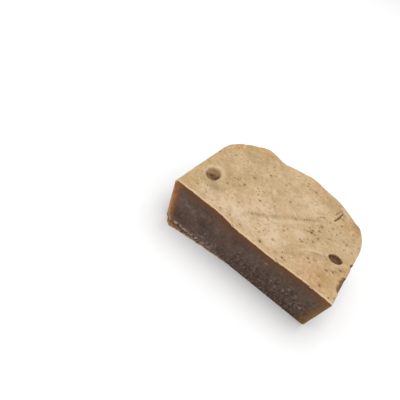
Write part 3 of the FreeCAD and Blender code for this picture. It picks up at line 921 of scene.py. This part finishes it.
def large_speck_piece(material):
    """Flat dark bits lying in the skin, each an uneven seven-sided scale with a low back."""
    rng = np.random.default_rng(23)
    sides, sunk, rise, belly, back = 7, -0.12, 0.05, -0.16, 0.09
    points, faces = [], []
    for x, y, radius in large_specks:
        first, turn, squeeze = len(points), rng.uniform(0, 6.28), rng.uniform(0.4, 0.85)
        c, s = math.cos(turn), math.sin(turn)
        ground = set_surface(np.array(x), np.array(y)) + skin_relief(np.array(x), np.array(y), np.array(20.0))
        for ring, height in ((1.0, sunk), (0.8, rise)):
            for k in range(sides):
                angle, r = 2 * math.pi * k / sides, radius * ring * rng.uniform(0.75, 1.2)
                p, q = r * math.cos(angle), r * squeeze * math.sin(angle)
                points.append((x + p * c - q * s, y + p * s + q * c, ground + height))
        points += [(x, y, ground + belly), (x, y, ground + back)]
        lowest, highest = first + 2 * sides, first + 2 * sides + 1
        for k in range(sides):
            low, next_low = first + k, first + (k + 1) % sides
            high, next_high = low + sides, next_low + sides
            faces += [(low, next_low, next_high, high), (high, next_high, highest), (next_low, low, lowest)]
    return solid_piece("skin_large_specks", np.array(points), faces, [0] * len(faces), {}, [material])


# Camera and light

def place_camera():
    """The photograph's view: turned, raised and rolled, through a 37.8 mm lens on 36 mm film."""
    turn, rise, roll = (math.radians(a) for a in (16.745, 43.590, 26.382))
    stand = np.array([10.62, -163.31, 152.89])
    back = Vector((math.sin(turn) * math.cos(rise), -math.cos(turn) * math.cos(rise), math.sin(rise)))
    right = Vector((0, 0, 1)).cross(back).normalized()
    up = back.cross(right)
    sideways = math.cos(roll) * right + math.sin(roll) * up
    upwards = math.cos(roll) * up - math.sin(roll) * right
    camera = put("camera", bpy.data.cameras.new("camera"))
    camera.data.lens, camera.data.sensor_width, camera.data.clip_start = 37.8, 36.0, 0.01
    camera.data.shift_x, camera.data.shift_y = -0.0015, 0.0016
    camera.matrix_world = Matrix((sideways, upwards, back)).transposed().to_4x4()
    camera.matrix_world.translation = Vector((stand + shift) * MM)
    bpy.context.scene.camera = camera


def area_lamp(name, place, size, power):
    lamp = put(name, bpy.data.lights.new(name, "AREA"))
    lamp.data.size, lamp.data.energy = size, power
    lamp.location = place
    bar_middle = Vector((0, 0, 0.01))
    lamp.rotation_euler = (bar_middle - Vector(place)).to_track_quat("-Z", "Y").to_euler()


def white_room():
    """An even world, and a soft lamp above and behind on the left."""
    # The two together show a level sheet as it is coloured
    room_light, window_light = 0.80, 1.45
    world = bpy.data.worlds.new("studio")
    bpy.context.scene.world = world
    world.use_nodes = True
    tree = world.node_tree
    seen = add(tree, "ShaderNodeLightPath").outputs
    direct = add(tree, "ShaderNodeMath", {0: seen["Is Camera Ray"], 1: seen["Is Glossy Ray"]},
                 operation="MAXIMUM").outputs[0]
    strength = add(tree, "ShaderNodeMix", {0: direct, 2: room_light, 3: 1.0}, data_type="FLOAT").outputs[0]
    tree.links.new(strength, tree.nodes["Background"].inputs["Strength"])
    tree.nodes["Background"].inputs["Color"].default_value = (1, 1, 1, 1)
    area_lamp("window", (0.02, 0.20, 0.58), 0.45, window_light)
    bpy.context.scene.view_settings.view_transform = "Standard"


def white_floor():
    """Paper that is white to the camera, and a little darker where it lights the bar."""
    reach, under_bar = 3.0, 0.00002
    mesh = bpy.data.meshes.new("floor")
    corners = [(-reach, -reach, 0), (reach, -reach, 0), (reach, reach, 0), (-reach, reach, 0)]
    mesh.from_pydata(corners, [], [(0, 1, 2, 3)])
    floor = put("floor", mesh)
    floor.location.z = -under_bar
    paper = bpy.data.materials.new("floor_paper")
    paper.use_nodes = True
    tree = paper.node_tree
    shader = tree.nodes["Principled BSDF"]
    seen = add(tree, "ShaderNodeLightPath").outputs["Is Camera Ray"]
    white = add(tree, "ShaderNodeMix", {0: seen, 6: srgb("#dcdcdc"), 7: (1, 1, 1, 1)},
                data_type="RGBA").outputs[2]
    tree.links.new(white, shader.inputs["Base Color"])
    shader.inputs["Roughness"].default_value = 0.9
    shader.inputs["Specular IOR Level"].default_value = 0.0
    mesh.materials.append(paper)


place_camera()
white_room()
white_floor()
bar = solid_piece("cast_bar", *cast_mesh(), [dried_skin(), cut_core(), moulded_wall(), torn_soap()])
tree = grain_tree()
dark = grain_material("dark_specks", "#614421", "#8a673d", 0.6)
brown = grain_material("brown_specks", "#72532c", "#9c7a4c", 0.6)
pale = grain_material("pale_grains", "#8a786c", "#ab998a", 0.45)
crumb = grain_material("torn_crumbs", "#664a35", "#b08f76", 0.5)
pieces = [
    bar,
    large_speck_piece(dark),
    strew("skin_specks", tree, bar, per_square_metre=40000.0, measure="peppered", radius=0.40 * MM,
          flatness=0.25, seed=7, material=brown),
    strew("cut_grains", tree, bar, per_square_metre=110000.0, measure="flecked", radius=0.26 * MM,
          flatness=0.5, seed=11, material=pale),
    strew("lip_crumbs", tree, bar, per_square_metre=500000.0, measure="crumbly", radius=0.42 * MM,
          flatness=0.7, seed=5, material=crumb),
]
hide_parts("soap_bar")
for piece in pieces:
    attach(piece, "root")
